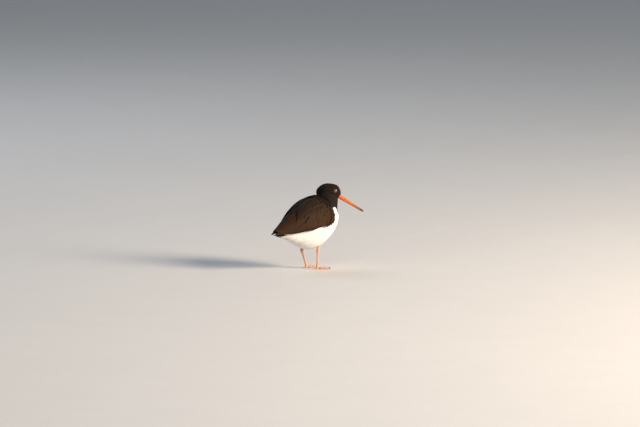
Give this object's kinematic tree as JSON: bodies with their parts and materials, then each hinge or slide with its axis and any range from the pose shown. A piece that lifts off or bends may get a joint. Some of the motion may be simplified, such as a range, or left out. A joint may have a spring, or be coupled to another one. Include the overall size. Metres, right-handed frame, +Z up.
{
  "type": "eurasian oystercatcher",
  "caption": "Life-size standing wader: fluffed black and white body, long straight orange bill turned to its right, folded wings and pinkish legs.",
  "frame": {"origin": "on the floor under the middle of the model's box", "axes": "+X the way the body faces, +Y the bird's left side, +Z up"},
  "size_m": [0.2962, 0.1344, 0.2373],
  "materials": {
    "body_plumage": "matte",
    "wing_feathers": "matte",
    "tail_feathers": "matte",
    "bill": "satin",
    "leg_skin": "satin",
    "claw": "satin",
    "eye": "gloss"
  },
  "bodies": {
    "root": {"torso": "body_plumage", "neck": "body_plumage", "head": "body_plumage", "bill_upper": "bill", "bill_lower": "bill", "eye_left": "eye", "eye_right": "eye", "wing_left": "wing_feathers", "wing_right": "wing_feathers", "tail": "tail_feathers", "leg_left": "leg_skin", "leg_right": "leg_skin", "foot_left": "leg_skin", "foot_right": "leg_skin", "claw_left_inner": "claw", "claw_left_middle": "claw", "claw_left_outer": "claw", "claw_right_inner": "claw", "claw_right_middle": "claw", "claw_right_outer": "claw"}
  },
  "joints": []
}
